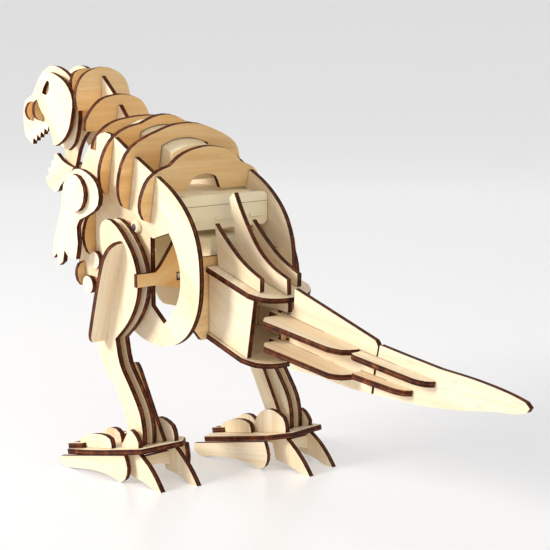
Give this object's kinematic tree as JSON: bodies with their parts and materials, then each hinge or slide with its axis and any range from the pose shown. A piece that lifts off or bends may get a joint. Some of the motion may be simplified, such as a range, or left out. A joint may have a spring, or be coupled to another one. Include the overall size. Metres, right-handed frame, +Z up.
{
  "type": "wooden 3d jigsaw model",
  "caption": "Walking tyrannosaur jigsaw of slotted laser-cut plywood sheets around a battery box, with swinging legs and arms, a swaying tail and an opening jaw.",
  "frame": {"origin": "centre of the bounding box, on the floor", "axes": "+Z up, +Y towards the tail, +X towards the animal's left side"},
  "size_m": [0.1292, 0.397, 0.2228],
  "materials": {
    "plywood": "laser-cut basswood plywood with dark burnt edges",
    "cream_plastic": "moulded cream plastic",
    "steel_pin": "bright drawn rod"
  },
  "bodies": {
    "body": {"side_plate_left": "plywood", "side_plate_right": "plywood", "rib_rear": "plywood", "rib_middle": "plywood", "rib_front": "plywood", "neck_rib_low": "plywood", "neck_rib_high": "plywood", "neck_crest": "plywood", "neck_spine": "plywood", "chest_rib_upper": "plywood", "chest_rib_lower": "plywood", "battery_tray": "cream_plastic", "battery_lid": "cream_plastic", "motor_housing": "cream_plastic", "gearbox": "cream_plastic", "hip_pin_left": "steel_pin", "hip_pin_right": "steel_pin", "tail_deck_upper": "plywood", "tail_deck_lower": "plywood", "tail_wall_left": "plywood", "tail_wall_right": "plywood", "tail_root": "plywood", "tail_keel": "plywood", "tail_pin": "plywood", "back_fin_centre": "plywood", "back_fin_left": "plywood", "back_fin_right": "plywood", "skull_core": "plywood", "face_left": "plywood", "face_right": "plywood", "cheek_left": "plywood", "cheek_right": "plywood", "skull_back": "plywood", "snout_strip_front": "plywood", "snout_strip_rear": "plywood"},
    "tail": {"tail_blade_front": "plywood", "tail_blade_rear": "plywood", "tail_vane_upper": "plywood", "tail_vane_lower": "plywood", "tail_tip_upper": "plywood", "tail_tip_lower": "plywood"},
    "jaw": {"lower_jaw": "plywood"},
    "arm_left": {"arm_left": "plywood"},
    "arm_right": {"arm_right": "plywood"},
    "leg_left": {"leg_outer_left": "plywood", "leg_inner_left": "plywood", "strut_left": "plywood", "hip_link_left": "plywood", "sole_left": "plywood", "toe_outer_left": "plywood", "toe_inner_left": "plywood", "heel_left": "plywood"},
    "leg_right": {"leg_outer_right": "plywood", "leg_inner_right": "plywood", "strut_right": "plywood", "hip_link_right": "plywood", "sole_right": "plywood", "toe_outer_right": "plywood", "toe_inner_right": "plywood", "heel_right": "plywood"}
  },
  "joints": [
    {"name": "jaw_hinge", "type": "hinge", "parent": "body", "child": "jaw", "pos_m": [0, -0.1605, 0.159], "axis": [1, 0, 0], "range_deg": [-20, 6]},
    {"name": "shoulder_left", "type": "hinge", "parent": "body", "child": "arm_left", "pos_m": [0.0446, -0.0845, 0.153], "axis": [1, 0, 0], "range_deg": [-40, 12]},
    {"name": "shoulder_right", "type": "hinge", "parent": "body", "child": "arm_right", "pos_m": [-0.0446, -0.0845, 0.153], "axis": [1, 0, 0], "range_deg": [-40, 12]},
    {"name": "hip_left", "type": "hinge", "parent": "body", "child": "leg_left", "pos_m": [0.02, -0.03, 0.1105], "axis": [1, 0, 0], "range_deg": [0, 14]},
    {"name": "hip_right", "type": "hinge", "parent": "body", "child": "leg_right", "pos_m": [-0.02, -0.014, 0.1105], "axis": [1, 0, 0], "range_deg": [-14, 0]},
    {"name": "tail_sway", "type": "hinge", "parent": "body", "child": "tail", "pos_m": [0, 0.036, 0.084], "axis": [0, 0, 1], "range_deg": [-7, 7]}
  ],
  "couplings": [
    {"joint": "hip_right", "follows": "hip_left", "ratio": -1}
  ]
}
